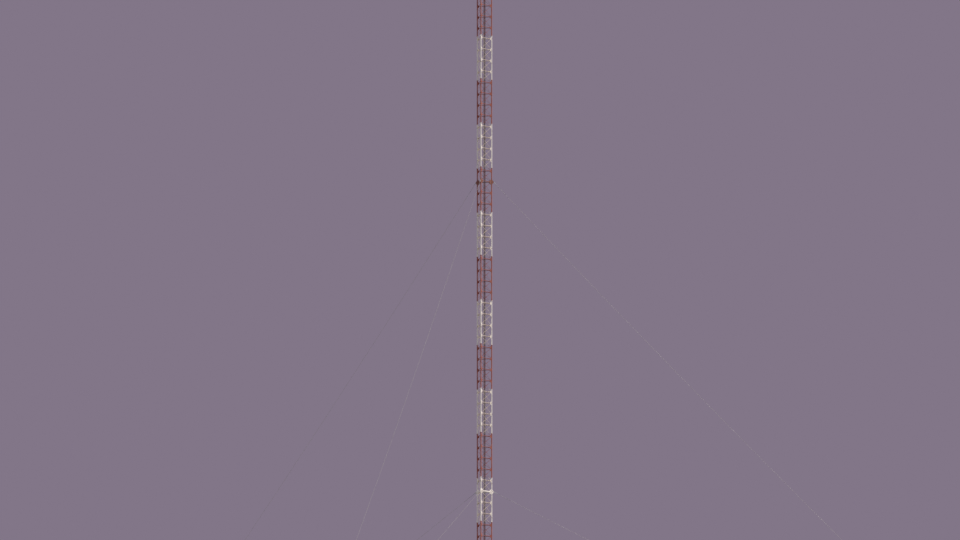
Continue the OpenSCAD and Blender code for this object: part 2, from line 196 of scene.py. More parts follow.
def mixColours(tree, share, a, b):
    node = addNode(tree, "ShaderNodeMix", data_type="RGBA")
    feed(tree, node.inputs[0], share)
    for socket, colour in ((node.inputs[6], a), (node.inputs[7], b)):
        feed(tree, socket, (*colour, 1.0) if isinstance(colour, tuple) else colour)
    return node.outputs[2]


def cellsOf(tree, place, scale):
    return addNode(tree, "ShaderNodeTexVoronoi", {"Vector": place, "Scale": scale}).outputs


def heightOf(tree, place):
    return addNode(tree, "ShaderNodeSeparateXYZ", {0: place}).outputs["Z"]


# How far a point is from the axis of the nearest leg, seen in plan. The legs draw in below their knees
def fromNearestLeg(tree, place):
    flat = vectorMaths(tree, "MULTIPLY", {0: place, 1: (1.0, 1.0, 0.0)})[0]
    atShoe = mast["shoeReach"] / legReach
    drawnIn = remap(tree, heightOf(tree, place), mast["foot"], kneeHeight, atShoe, 1.0)
    nearest = 1.0
    for angle in guys["angles"]:
        leg = vectorMaths(tree, "SCALE", {0: towards(angle, legReach), "Scale": drawnIn})[0]
        reach = vectorMaths(tree, "DISTANCE", {0: flat, 1: leg})["Value"]
        nearest = maths(tree, "MINIMUM", nearest, reach)
    return nearest


# How far above or below the nearest guy level a point is
def fromNearestGuys(tree, height):
    nearest = 1.0
    for row in guyRows:
        nearest = maths(tree, "MINIMUM", nearest, maths(tree, "ABSOLUTE", minus(tree, height, row)))
    return nearest


# Brick red and off-white by height, chalked, streaked and rusty, most of all on the thin bars
def bandedPaint(name, wear):
    paint = {
        "red": (0.275, 0.064, 0.048),
        "fadedRed": (0.365, 0.115, 0.088),
        "deepRed": (0.28, 0.040, 0.026),
        "redGrime": (0.19, 0.070, 0.050),
        "white": (0.78, 0.72, 0.68),
        "chalkyWhite": (0.74, 0.685, 0.645),
        "stainedWhite": (0.70, 0.565, 0.42),
        "grime": (0.17, 0.145, 0.12),
        "rust": (0.17, 0.062, 0.028),
        "roughness": (0.0, 1.0, 0.48, 0.88),
        "bump": (0.35, 0.0004),
        "grain": {"scale": 700.0, "detail": 3.0},
        "edge": {"scale": 90.0, "low": 0.3, "high": 0.7, "toLow": -0.0014, "toHigh": 0.0014},
        "topMargin": 0.01,
        "patches": {"scale": 9.0, "low": 0.35, "high": 0.65, "detail": 7.0},
        "bleeding": {"scale": 46.0, "low": 0.30, "high": 0.60, "toLow": 0.5, "detail": 6.0},
        "runs": {"scale": 1.0, "low": 0.50, "high": 0.78, "detail": 7.0, "stretch": (110.0, 110.0, 7.0)},
        "film": {"scale": 34.0, "low": 0.42, "high": 0.75, "detail": 8.0},
        "stainFromLeg": (0.020, 0.060),
        "guyFrame": (0.050, 0.060),
        "guyFrameGrime": 0.8,
        "rusting": {"scale": 85.0, "detail": 9.0, "stretch": (1.0, 1.0, 0.4)},
        "belowJoint": (0.35, 0.82),
        "aboveJoint": (1.0, 0.86),
        "jointRust": 0.085,
        "barsFromLeg": (0.030, 0.075),
        "barRust": 0.036,
        "haloAt": (0.60, 0.70),
        "haloShare": 0.55,
        "spotsAt": (0.685, 0.715),
    }
    surface, tree, place = startSurface(name)
    height = heightOf(tree, place)
    bands = add(tree, minus(tree, height, mast["foot"]), clouds(tree, place, **paint["edge"]))
    bands = maths(tree, "DIVIDE", bands, mast["section"])
    bands = maths(tree, "MINIMUM", bands, mast["sections"] - paint["topMargin"])
    isWhite = maths(tree, "GREATER_THAN", maths(tree, "MODULO", bands, 2.0), 1.0)
    patches = clouds(tree, place, **paint["patches"])
    redPaint = mixColours(tree, patches, paint["red"], paint["fadedRed"])
    whitePaint = mixColours(tree, patches, paint["white"], paint["chalkyWhite"])
    # The bars are stained. At the guy levels the white is clean and the red is dirty
    fromLeg = fromNearestLeg(tree, place)
    bleeding = clouds(tree, place, **paint["bleeding"])
    stained = times(tree, remap(tree, fromLeg, *paint["stainFromLeg"]), bleeding)
    awayFromGuys = remap(tree, fromNearestGuys(tree, height), *paint["guyFrame"])
    whiteStain = times(tree, stained, awayFromGuys)
    whitePaint = mixColours(tree, whiteStain, whitePaint, paint["stainedWhite"])
    redPaint = mixColours(tree, stained, redPaint, paint["deepRed"])
    atGuys = remap(tree, awayFromGuys, 0.0, 1.0, paint["guyFrameGrime"], 0.0)
    redPaint = mixColours(tree, atGuys, redPaint, paint["redGrime"])
    colour = mixColours(tree, isWhite, redPaint, whitePaint)
    grime = mixColours(tree, isWhite, paint["redGrime"], paint["grime"])
    for dirt in ("runs", "film"):
        share = clouds(tree, place, toHigh=wear[dirt], **paint[dirt])
        colour = mixColours(tree, share, colour, grime)
    # Rust starts at the gussets and thins out down the bay below them
    rows = minus(tree, height, firstStrut + mast["gussetHeight"] / 2)
    inBay = maths(tree, "FRACT", maths(tree, "DIVIDE", rows, bayHeight))
    belowJoint = remap(tree, inBay, *paint["belowJoint"], 0.0, paint["jointRust"])
    aboveJoint = remap(tree, inBay, *paint["aboveJoint"], 0.0, paint["jointRust"])
    onBars = remap(tree, fromLeg, *paint["barsFromLeg"], 0.0, paint["barRust"])
    rusting = noise(tree, place, **paint["rusting"])
    for more in (maths(tree, "MINIMUM", belowJoint, aboveJoint),
                 times(tree, onBars, awayFromGuys), wear["rust"]):
        rusting = add(tree, rusting, more)
    halo = remap(tree, rusting, *paint["haloAt"], 0.0, paint["haloShare"])
    spots = remap(tree, rusting, *paint["spotsAt"])
    colour = mixColours(tree, spots, mixColours(tree, halo, colour, grime), paint["rust"])
    relief = add(tree, noise(tree, place, **paint["grain"]), spots)
    return finishSurface(surface, paint, colour, relief, spots)


# Cells of a hot-dip coat, each of its own grey
zincTones = {"light": (0.42, 0.43, 0.44), "dark": (0.31, 0.32, 0.335), "cells": 620.0}


def zincTone(tree, place):
    cells = cellsOf(tree, place, zincTones["cells"])
    shade = addNode(tree, "ShaderNodeSeparateColor", {0: cells["Color"]}).outputs[0]
    return mixColours(tree, shade, zincTones["dark"], zincTones["light"])


# Zinc with a soft spangle, whitened and a little rusty
def galvanisedSteel():
    coat = {
        "rust": (0.19, 0.080, 0.038),
        "whitened": {"scale": 22.0, "low": 0.35, "high": 0.65, "toHigh": 0.5, "detail": 7.0},
        "spots": {"scale": 90.0, "low": 0.62, "high": 0.68, "toHigh": 0.85, "detail": 9.0,
                  "stretch": (1.0, 1.0, 0.5)},
        "grain": {"scale": 380.0, "detail": 3.0},
        "roughness": (0.0, 0.5, 0.42, 0.66),
        "bump": (0.25, 0.0003),
    }
    surface, tree, place = startSurface("galvanised_steel", metallic=0.5)
    whitened = clouds(tree, place, **coat["whitened"])
    grey = mixColours(tree, whitened, zincTone(tree, place), zincTones["light"])
    colour = mixColours(tree, clouds(tree, place, **coat["spots"]), grey, coat["rust"])
    return finishSurface(surface, coat, colour, noise(tree, place, **coat["grain"]), whitened)


# Twisted strands on one guy's rope, with painted shade in the grooves between them, and zinc on the
# fittings at its two ends
def guyWire(name, level, angle):
    wire = {
        "light": (0.45, 0.43, 0.44),
        "paintedGrooveShade": (0.16, 0.15, 0.15),
        "dirt": (0.30, 0.275, 0.25),
        "strands": 6,
        "layLength": 0.048,
        "grooveWidth": 0.45,
        "grime": {"scale": 9.0, "low": 0.40, "high": 0.66, "toHigh": 0.6, "detail": 5.0},
        "bump": (0.8, 0.0006),
    }
    surface, tree, place = startSurface(name, roughness=0.55, metallic=0.25)
    top, foot = guyEnds(level)
    chord = foot - top
    upwards = Vector((-chord.z, 0.0, chord.x)).normalized()
    turned = addNode(tree, "ShaderNodeVectorRotate", {"Vector": place, "Angle": -radians(angle)},
                     rotation_type="Z_AXIS").outputs[0]
    fromPin = vectorMaths(tree, "SUBTRACT", {0: turned, 1: top})[0]
    along = vectorMaths(tree, "DOT_PRODUCT", {0: fromPin, 1: chord.normalized()})["Value"]
    above = vectorMaths(tree, "DOT_PRODUCT", {0: fromPin, 1: upwards})["Value"]
    share = maths(tree, "DIVIDE", along, chord.length)
    bow = times(tree, share, minus(tree, 1.0, share))
    above = add(tree, above, times(tree, bow, 4 * chord.length * guys["sag"] * upwards.z))
    beside = addNode(tree, "ShaderNodeSeparateXYZ", {0: turned}).outputs["Y"]
    around = times(tree, maths(tree, "ARCTAN2", above, beside), wire["strands"])
    twist = times(tree, along, 2 * pi * wire["strands"] / wire["layLength"])
    crest = remap(tree, maths(tree, "SINE", add(tree, around, twist)), -1.0, 1.0)
    onStrand = remap(tree, crest, 0.0, wire["grooveWidth"])
    # Painted shade fills the grooves between the strands, beside the strands' own colour
    strands = mixColours(tree, onStrand, wire["paintedGrooveShade"], wire["light"])
    rope = mixColours(tree, clouds(tree, place, **wire["grime"]), strands, wire["dirt"])
    beyondSocket = maths(tree, "GREATER_THAN", along, guys["socketEnd"])
    beforeBuckle = maths(tree, "LESS_THAN", along, chord.length - guys["turnbuckleEnd"])
    isRope = times(tree, beyondSocket, beforeBuckle)
    colour = mixColours(tree, isRope, zincTone(tree, place), rope)
    return finishSurface(surface, wire, colour, times(tree, crest, isRope))


# Dull jacket, greyed by dust
def feederJacket():
    jacket = {
        "dark": (0.060, 0.052, 0.043),
        "dust": (0.16, 0.135, 0.105),
        "dusty": {"scale": 6.0, "low": 0.36, "high": 0.68, "toHigh": 0.85, "detail": 6.0,
                  "stretch": (5.0, 5.0, 1.0)},
        "grain": {"scale": 260.0, "detail": 3.0},
        "roughness": (0.0, 0.85, 0.42, 0.75),
        "bump": (0.2, 0.0003),
    }
    surface, tree, place = startSurface("feeder_jacket")
    dusty = clouds(tree, place, **jacket["dusty"])
    colour = mixColours(tree, dusty, jacket["dark"], jacket["dust"])
    return finishSurface(surface, jacket, colour, noise(tree, place, **jacket["grain"]), dusty)


# Cast concrete with boards' lines, pores with painted shade in them, drips and a damp foot
def castConcrete():
    mix = {
        "light": (0.50, 0.48, 0.435),
        "dark": (0.38, 0.365, 0.33),
        "stain": (0.20, 0.185, 0.15),
        "paintedPoreShade": (0.10, 0.09, 0.075),
        "sand": {"scale": 75.0, "low": 0.35, "high": 0.65, "detail": 12.0},
        "cloudy": {"scale": 12.0, "low": 0.45, "high": 0.72, "toHigh": 0.45, "detail": 6.0},
        "drips": {"scale": 1.0, "low": 0.52, "high": 0.75, "toHigh": 0.7, "detail": 8.0,
                  "stretch": (70.0, 70.0, 9.0)},
        "dampTo": 0.035,
        "dampShare": 0.65,
        "pores": 170.0,
        "poreEdge": (0.07, 0.14),
        "poreShadeShare": 0.75,
        "poreDepth": (0.05, 0.16, 0.0, 0.5),
        "board": 0.018,
        "boardLine": 0.07,
        "grain": {"scale": 120.0, "detail": 6.0},
        "bump": (0.6, 0.0012),
    }
    surface, tree, place = startSurface("cast_concrete", roughness=0.85)
    height = heightOf(tree, place)
    colour = mixColours(tree, clouds(tree, place, **mix["sand"]), mix["light"], mix["dark"])
    damp = remap(tree, height, 0.0, mix["dampTo"], mix["dampShare"], 0.0)
    for share in (clouds(tree, place, **mix["cloudy"]), clouds(tree, place, **mix["drips"]), damp):
        colour = mixColours(tree, share, colour, mix["stain"])
    # Painted shade darkens each pore, which is also a dent in the relief
    pores = cellsOf(tree, place, mix["pores"])["Distance"]
    inPoreShade = remap(tree, pores, *mix["poreEdge"], mix["poreShadeShare"], 0.0)
    colour = mixColours(tree, inPoreShade, colour, mix["paintedPoreShade"])
    boards = maths(tree, "FRACT", maths(tree, "DIVIDE", height, mix["board"]))
    ridge = remap(tree, boards, 0.0, mix["boardLine"], 1.0, 0.0)
    relief = add(tree, remap(tree, pores, *mix["poreDepth"]), noise(tree, place, **mix["grain"]))
    return finishSurface(surface, mix, colour, add(tree, relief, ridge))


# Obstruction light: grey housing below, ribbed red lens above
def beaconGlass():
    lens = {
        "foot": topFace + 0.066,
        "deep": (0.34, 0.012, 0.010),
        "bright": (0.66, 0.040, 0.028),
        "housing": (0.42, 0.40, 0.36),
        "housingWorn": (0.25, 0.24, 0.22),
        "worn": {"scale": 70.0, "low": 0.4, "high": 0.7, "detail": 6.0},
        "ribScale": 75.0,
        "roughness": (0.0, 1.0, 0.6, 0.16),
        "bump": (0.4, 0.001),
    }
    surface, tree, place = startSurface("beacon_glass")
    ribs = addNode(tree, "ShaderNodeTexWave", {"Vector": place, "Scale": lens["ribScale"]},
                   bands_direction="Z").outputs["Fac"]
    isLens = maths(tree, "GREATER_THAN", heightOf(tree, place), lens["foot"])
    red = mixColours(tree, ribs, lens["deep"], lens["bright"])
    housing = mixColours(tree, clouds(tree, place, **lens["worn"]), lens["housing"], lens["housingWorn"])
    colour = mixColours(tree, isLens, housing, red)
    return finishSurface(surface, lens, colour, times(tree, ribs, isLens), isLens)


surfaces = {
    "banded_paint": bandedPaint("banded_paint", {"runs": 0.26, "film": 0.05, "rust": 0.0}),
    "ladder_paint": bandedPaint("ladder_paint", {"runs": 0.75, "film": 0.75, "rust": 0.035}),
    "galvanised_steel": galvanisedSteel(),
    "feeder_jacket": feederJacket(),
    "concrete": castConcrete(),
    "beacon_glass": beaconGlass(),
}
ownSurfaces = {f"ladder_{number}": "ladder_paint" for number in range(1, 5)}
for side, angle in zip(("front", "right", "left"), guys["angles"]):
    for level, height in enumerate(("lower", "upper")):
        node = f"guy_{height}_{side}"
        ownSurfaces[node] = node + "_wire"
        surfaces[node + "_wire"] = guyWire(node + "_wire", level, angle)
for part in frame["record"]["subparts"]:
    for slot in frame["nodes"][part["node"]].material_slots:
        slot.material = surfaces[ownSurfaces.get(part["node"], part["material_slot"])]
print("stage: surfaces made,", len(surfaces))


# No move at all, and turns that lay a Z axis along X or Y
zero = (0.0, 0.0, 0.0)
alongX = (0.0, pi / 2, 0.0)
alongY = (pi / 2, 0.0, 0.0)


# Small helpers for shapes in Geometry Nodes, all sizes in metres
def vector(tree, x=0.0, y=0.0, z=0.0):
    return addNode(tree, "ShaderNodeCombineXYZ", {0: x, 1: y, 2: z}).outputs[0]


def halfOf(tree, value):
    return times(tree, value, 0.5)


def prism(tree, radius, depth, sides=6):
    values = {"Vertices": sides, "Radius": radius, "Depth": depth}
    return addNode(tree, "GeometryNodeMeshCylinder", values).outputs["Mesh"]


def block(tree, x, y, z):
    return addNode(tree, "GeometryNodeMeshCube", {"Size": vector(tree, x, y, z)}).outputs["Mesh"]


def move(tree, shape, x=0.0, y=0.0, z=0.0, turn=zero):
    values = {"Geometry": shape, "Translation": vector(tree, x, y, z), "Rotation": turn}
    return addNode(tree, "GeometryNodeTransform", values).outputs[0]


def standing(tree, radius, height, foot=0.0, sides=6):
    return move(tree, prism(tree, radius, height, sides), z=add(tree, foot, halfOf(tree, height)))


def joinShapes(tree, *shapes):
    node = addNode(tree, "GeometryNodeJoinGeometry")
    for shape in shapes:
        tree.links.new(shape, node.inputs[0])
    return node.outputs[0]


# Copies in a row, each turned a step further than the last about one axis
def repeat(tree, shape, count, start=zero, step=zero, axis="z", firstTurn=0.0, stepTurn=0.0):
    line = {"Count": count, "Start Location": start, "Offset": step}
    points = addNode(tree, "GeometryNodeMeshLine", line, mode="OFFSET")
    index = addNode(tree, "GeometryNodeInputIndex").outputs[0]
    angle = add(tree, times(tree, index, stepTurn), firstTurn)
    copies = addNode(tree, "GeometryNodeInstanceOnPoints", {
        "Points": points.outputs["Mesh"],
        "Instance": shape,
        "Rotation": vector(tree, **{axis: angle}),
    })
    return copies.outputs["Instances"]


# Copies in a straight row about its middle
def spaced(tree, shape, count, pitch, along="x", **middle):
    span = times(tree, pitch, minus(tree, count, 1.0))
    start = vector(tree, **{**middle, along: times(tree, span, -0.5)})
    return repeat(tree, shape, count, start, vector(tree, **{along: pitch}))


def pair(tree, shape, apart, along="x", **middle):
    return spaced(tree, shape, 2, apart, along, **middle)


def ring(tree, shape, count, reach, firstTurn=0.0):
    stepTurn = maths(tree, "DIVIDE", 2 * pi, count)
    return repeat(tree, move(tree, shape, x=reach), count, firstTurn=firstTurn, stepTurn=stepTurn)


def onThreeFaces(tree, shape):
    return repeat(tree, move(tree, shape, y=faceReach), 3, stepTurn=2 * pi / 3)


def onThreeLegs(tree, shape):
    return ring(tree, shape, 3, legReach, -pi / 2)


# A shape at both ends of every face, built from a leg's axis towards the middle
def atFaceEnds(tree, shape):
    return onThreeFaces(tree, ring(tree, shape, 2, -mast["face"] / 2))


def upTheMast(tree, given, shape):
    start = vector(tree, z=given["First row"])
    return repeat(tree, shape, given["Rows"], start, vector(tree, z=given["Row pitch"]))


def circle(tree, radius, points):
    return addNode(tree, "GeometryNodeCurvePrimitiveCircle", {"Resolution": points, "Radius": radius})


def sweep(tree, path, section):
    values = {"Curve": path.outputs[0], "Profile Curve": section.outputs[0], "Fill Caps": True}
    return addNode(tree, "GeometryNodeCurveToMesh", values).outputs[0]


# A round bar bent into a ring
def hoop(tree, radius, thickness, points=28, sides=6):
    return sweep(tree, circle(tree, radius, points), circle(tree, thickness, sides))


# A wire wound along X
def coil(tree, given, sides):
    helix = addNode(tree, "GeometryNodeCurveSpiral", {
        "Resolution": given["Points per turn"],
        "Rotations": given["Turns"],
        "Start Radius": given["Reach"],
        "End Radius": given["Reach"],
        "Height": given["Length"],
    })
    return move(tree, sweep(tree, helix, circle(tree, given["Wire radius"], sides)), turn=alongX)


# A stud's radius in nut radii, and its length over the grip in nut heights
studShare = 0.55
studExtra = 2.7


# A bolt along Z with a nut at both ends of its grip
def bolt(tree, given):
    nut = prism(tree, given["Nut radius"], given["Nut height"])
    nuts = pair(tree, nut, add(tree, given["Grip"], given["Nut height"]), "z")
    length = add(tree, given["Grip"], times(tree, given["Nut height"], studExtra))
    stud = prism(tree, times(tree, given["Nut radius"], studShare), length, sides=8)
    return joinShapes(tree, stud, nuts)


def boltAcross(tree, given, **place):
    return move(tree, bolt(tree, given), turn=alongY, **place)


# Upright beads of weld on both sides of a plate that meets a leg
def uprightBeads(tree, given):
    bead = prism(tree, given["Bead radius"], given["Bead length"])
    return pair(tree, bead, given["Plate thickness"], "y", x=given["Leg edge"])


# Runs a tree with its sizes as named inputs and returns the plain mesh
def growMesh(name, buildTree, sizes, surface):
    tree = bpy.data.node_groups.new(name, "GeometryNodeTree")
    tree.interface.new_socket("Geometry", in_out="OUTPUT", socket_type="NodeSocketGeometry")
    values = {**sizes, "Surface": surfaces[surface]}
    inputs = {}
    for label, value in values.items():
        kind = "NodeSocket" + {int: "Int", float: "Float"}.get(type(value), "Material")
        inputs[label] = tree.interface.new_socket(label, in_out="INPUT", socket_type=kind)
    given = tree.nodes.new("NodeGroupInput").outputs
    real = addNode(tree, "GeometryNodeRealizeInstances", {0: buildTree(tree, given)}).outputs[0]
    coating = {"Geometry": real, "Material": given["Surface"]}
    painted = addNode(tree, "GeometryNodeSetMaterial", coating).outputs[0]
    addNode(tree, "NodeGroupOutput", {0: painted})
    holder = addObject(name, bpy.data.meshes.new(name))
    modifier = holder.modifiers.new("grow", "NODES")
    modifier.node_group = tree
    for label, value in values.items():
        modifier[inputs[label].identifier] = value
    grown = holder.evaluated_get(bpy.context.evaluated_depsgraph_get())
    mesh = bpy.data.meshes.new_from_object(grown)
    holder.modifiers.remove(modifier)
    bpy.data.objects.remove(holder)
    return mesh


# Turns a mesh into its copies at the given places, with every face outwards
def copyTo(mesh, places):
    shape = bmesh.new()
    for place in places:
        single = mesh.copy()
        single.transform(place)
        shape.from_mesh(single)
        bpy.data.meshes.remove(single)
    bmesh.ops.recalc_face_normals(shape, faces=shape.faces)
    shape.to_mesh(mesh)
    shape.free()


def growPiece(name, buildTree, sizes, slot="banded_paint", places=(Matrix(),), surface=None):
    mesh = growMesh(name, buildTree, sizes, surface or slot)
    copyTo(mesh, places)
    piece = addObject(name, mesh)
    mesh.name = name
    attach(piece, "root")
    print("stage:", name, "has", len(mesh.polygons), "faces")


steel = "galvanised_steel"

# Where the leg splices, struts, bays and guyed struts are, from the foot upwards
everySplice = {
    "Rows": mast["sections"] - 1,
    "First row": mast["foot"] + mast["section"],
    "Row pitch": mast["section"],
}
everyStrut = {"Rows": strutRows, "First row": firstStrut, "Row pitch": bayHeight}
everyBay = {**everyStrut, "Rows": strutRows - 1}
guyedStruts = {
    level: {**everyStrut, "Rows": 1, "First row": height}
    for level, height in zip(("lower", "upper"), guyRows)
}

# Bolts round the flanges of every leg splice
spliceBolts = {
    **everySplice,
    "Bolts": 6,
    "Bolt circle": 0.0155,
    "Nut radius": 0.0023,
    "Nut height": 0.0017,
    "Grip": 2 * mast["flangeThickness"],
}


def flangeTree(tree, given):
    bolts = ring(tree, bolt(tree, given), given["Bolts"], given["Bolt circle"])
    return upTheMast(tree, given, onThreeLegs(tree, bolts))


growPiece("splice_bolts", flangeTree, spliceBolts)

# The top plate's own bolts stand between the holes that stay free for an antenna's foot
topGrip = mast["flangeThickness"] + mast["topPlate"]
topBolts = {
    **spliceBolts,
    "Bolts": 3,
    "Bolt circle": 0.0150,
    "Grip": topGrip,
    "Rows": 1,
    "First row": topFace - topGrip / 2,
}
growPiece("top_plate_bolts", flangeTree, topBolts)

# Flattened and bolted ends of the crossed rods, four in each bay of each face
rodEnds = {
    **everyBay,
    "Face width": mast["face"],
    "Rod turn": -atan2(bayHeight, mast["face"]),
    "Paddle middle": 0.0235,
    "Paddle length": 0.013,
    "Paddle width": 0.0058,
    "Paddle thickness": 0.0015,
    "Bolt distance": 0.0205,
    "Gusset thickness": mast["gussetThickness"],
    "Nut radius": 0.0021,
    "Nut height": 0.0015,
    "Grip": mast["gussetThickness"] + 0.0030,
}


def rodEndTree(tree, given):
    side = halfOf(tree, add(tree, given["Gusset thickness"], given["Paddle thickness"]))
    paddle = block(tree, given["Paddle length"], given["Paddle thickness"], given["Paddle width"])
    paddle = move(tree, paddle, x=given["Paddle middle"], y=side)
    end = joinShapes(tree, paddle, boltAcross(tree, given, x=given["Bolt distance"]))
    acrossBay = vector(tree, x=given["Face width"], z=given["Row pitch"])
    oneRod = repeat(tree, end, 2, step=acrossBay, axis="y", firstTurn=given["Rod turn"], stepTurn=pi)
    return upTheMast(tree, given, atFaceEnds(tree, oneRod))


growPiece("rod_ends", rodEndTree, rodEnds)

# A clip with a bolt where the two rods of a bay cross
rodClips = {
    **everyBay,
    "First row": firstStrut + bayHeight / 2,
    "Clip radius": 0.0042,
    "Clip width": 0.0102,
    "Nut radius": 0.0023,
    "Nut height": 0.0016,
    "Grip": 0.0106,
}


def rodClipTree(tree, given):
    clip = move(tree, prism(tree, given["Clip radius"], given["Clip width"], sides=12), turn=alongY)
    crossing = joinShapes(tree, clip, boltAcross(tree, given))
    return upTheMast(tree, given, onThreeFaces(tree, crossing))


growPiece("rod_clips", rodClipTree, rodClips)

# A six-sided strut's width across its flats, as a share of its diameter
flatShare = cos(pi / 6)


# Two bolts through each end of a strut into its gusset
def strutBoltSizes(struts, diameter, nut):
    return {
        **struts,
        "Bolts middle": 0.0205 + 3.3 * nut,
        "Bolt pitch": 4.6 * nut,
        "Nut radius": nut,
        "Nut height": 0.75 * nut,
        "Grip": diameter * flatShare,
    }


def strutBoltTree(tree, given):
    bolts = pair(tree, boltAcross(tree, given), given["Bolt pitch"])
    bolts = move(tree, bolts, x=given["Bolts middle"])
    return upTheMast(tree, given, atFaceEnds(tree, bolts))


growPiece("strut_bolts", strutBoltTree, strutBoltSizes(everyStrut, mast["strutDiameter"], nut=0.0018))
for level, strut in guyedStruts.items():
    growPiece("guy_strut_bolts_" + level, strutBoltTree,
              strutBoltSizes(strut, mast["guyStrutDiameter"], nut=0.0028))

# Channels that stiffen the struts of the lower guy level, in two lengths where the ladder's bracket is
guyChannels = {
    "Strut height": guyRows[0],
    "Strut flat": mast["guyStrutDiameter"] * flatShare / 2,
    "Length": mast["face"] - 2 * 0.042,
    "Height": 0.024,
    "Wall": 0.0025,
    "Edge": 0.0004,
    "Flange": 0.0070,
    "Bolts": 5,
    "Half length": 0.082,
    "Halves apart": 0.134,
    "Half bolts": 3,
    "Bolt margins": 0.024,
    "Nut radius": 0.0026,
    "Nut height": 0.0019,
    "Grip": mast["guyStrutDiameter"] * flatShare + 0.0025,
}


def channel(tree, given, length, bolts):
    webAt = add(tree, given["Strut flat"], halfOf(tree, given["Wall"]))
    web = move(tree, block(tree, length, given["Wall"], given["Height"]), y=webAt)
    face = minus(tree, add(tree, given["Strut flat"], given["Wall"]), given["Edge"])
    flange = block(tree, minus(tree, length, given["Edge"]), given["Flange"], given["Wall"])
    flange = move(tree, flange, y=minus(tree, face, halfOf(tree, given["Flange"])))
    apart = minus(tree, given["Height"], add(tree, given["Wall"], given["Edge"]))
    span = minus(tree, length, given["Bolt margins"])
    pitch = maths(tree, "DIVIDE", span, minus(tree, bolts, 1.0))
    through = boltAcross(tree, given, y=halfOf(tree, given["Wall"]))
    return joinShapes(tree, web, pair(tree, flange, apart, "z"), spaced(tree, through, bolts, pitch))


def guyChannelTree(tree, given):
    whole = move(tree, channel(tree, given, given["Length"], given["Bolts"]), y=faceReach)
    half = channel(tree, given, given["Half length"], given["Half bolts"])
    frontFaces = repeat(tree, whole, 2, firstTurn=2 * pi / 3, stepTurn=2 * pi / 3)
    ladderFace = pair(tree, half, given["Halves apart"], y=faceReach)
    return move(tree, joinShapes(tree, frontFaces, ladderFace), z=given["Strut height"])


growPiece("guy_strut_channels", guyChannelTree, guyChannels)

# Beads of weld round the legs at their flanges
flangeWelds = {
    **everySplice,
    "Beads apart": 2 * mast["flangeThickness"],
    "Leg radius": mast["legRadius"],
    "Bead radius": 0.0012,
}


def flangeWeldTree(tree, given):
    bead = hoop(tree, given["Leg radius"], given["Bead radius"])
    return upTheMast(tree, given, onThreeLegs(tree, pair(tree, bead, given["Beads apart"], "z")))


growPiece("flange_welds", flangeWeldTree, flangeWelds)


# Beads along the gussets. Those of the guyed struts are stronger
def gussetWeldSizes(struts, height, bead):
    return {
        **struts,
        "Leg edge": mast["legRadius"] + 0.0002,
        "Plate thickness": mast["gussetThickness"],
        "Bead radius": bead,
        "Bead length": height - 0.002,
    }


def gussetWeldTree(tree, given):
    return upTheMast(tree, given, atFaceEnds(tree, uprightBeads(tree, given)))


growPiece("gusset_welds", gussetWeldTree, gussetWeldSizes(everyStrut, mast["gussetHeight"], bead=0.0011))
for level, strut in guyedStruts.items():
    growPiece("guy_gusset_welds_" + level, gussetWeldTree,
              gussetWeldSizes(strut, mast["guyGussetHeight"], bead=0.0014))

# Beads where the lugs of the guys stand on the legs
lugWelds = {
    "Rows": 2,
    "First row": guyRows[0],
    "Row pitch": guyRows[1] - guyRows[0],
    "Leg edge": 0.0107,
    "Plate thickness": mast["lugThickness"],
    "Bead radius": 0.0014,
    "Bead length": 0.082,
}


def lugWeldTree(tree, given):
    return upTheMast(tree, given, onThreeLegs(tree, uprightBeads(tree, given)))


growPiece("lug_welds", lugWeldTree, lugWelds)

# Round skins on the drawn-in legs, with beads at the shoe, at the knees and under the shoe plate
shoeLegs = {
    "Shoe reach": mast["shoeReach"],
    "Shoe foot": mast["foot"],
    "Shoe bead reach": mast["shoeReach"] + 0.0023,
    "Shoe bead height": mast["foot"] + 0.010,
    "Knee height": kneeHeight,
    "Knee beads apart": 0.012,
    "Leg start": 0.008,
    "Leg reach": legReach,
    "Leg radius": mast["legRadius"] + 0.00006,
    "Bead circle": mast["legRadius"] + 0.0003,
    "Bead radius": 0.0015,
    "Cup radius": 0.033,
}


def shoeLegTree(tree, given):
    foot = vector(tree, x=given["Shoe reach"], z=given["Shoe foot"])
    knee = vector(tree, x=given["Leg reach"], z=given["Knee height"])
    ends = {"Factor": given["Leg start"], 4: foot, 5: knee}
    lowEnd = addNode(tree, "ShaderNodeMix", ends, data_type="VECTOR").outputs[1]
    line = addNode(tree, "GeometryNodeCurvePrimitiveLine", {"Start": lowEnd, "End": knee})
    skin = sweep(tree, line, circle(tree, given["Leg radius"], points=36))
    bead = hoop(tree, given["Bead circle"], given["Bead radius"])
    atShoe = move(tree, bead, x=given["Shoe bead reach"], z=given["Shoe bead height"])
    atKnee = pair(tree, bead, given["Knee beads apart"], "z", x=given["Leg reach"])
    leg = joinShapes(tree, skin, atShoe, move(tree, atKnee, z=given["Knee height"]))
    cupBead = hoop(tree, given["Cup radius"], given["Bead radius"], points=48)
    return joinShapes(tree, ring(tree, leg, 3, 0.0, -pi / 2), move(tree, cupBead, z=given["Shoe foot"]))


growPiece("shoe_legs", shoeLegTree, shoeLegs)

# A bead round the foot of the pedestal's post
postWeld = {
    "Post radius": 0.031,
    "Plate top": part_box("pier")[1][2] + mast["footPlate"],
    "Bead radius": 0.0016,
}


def postWeldTree(tree, given):
    bead = hoop(tree, given["Post radius"], given["Bead radius"], points=48)
    return move(tree, bead, z=given["Plate top"])


growPiece("post_weld", postWeldTree, postWeld, steel)

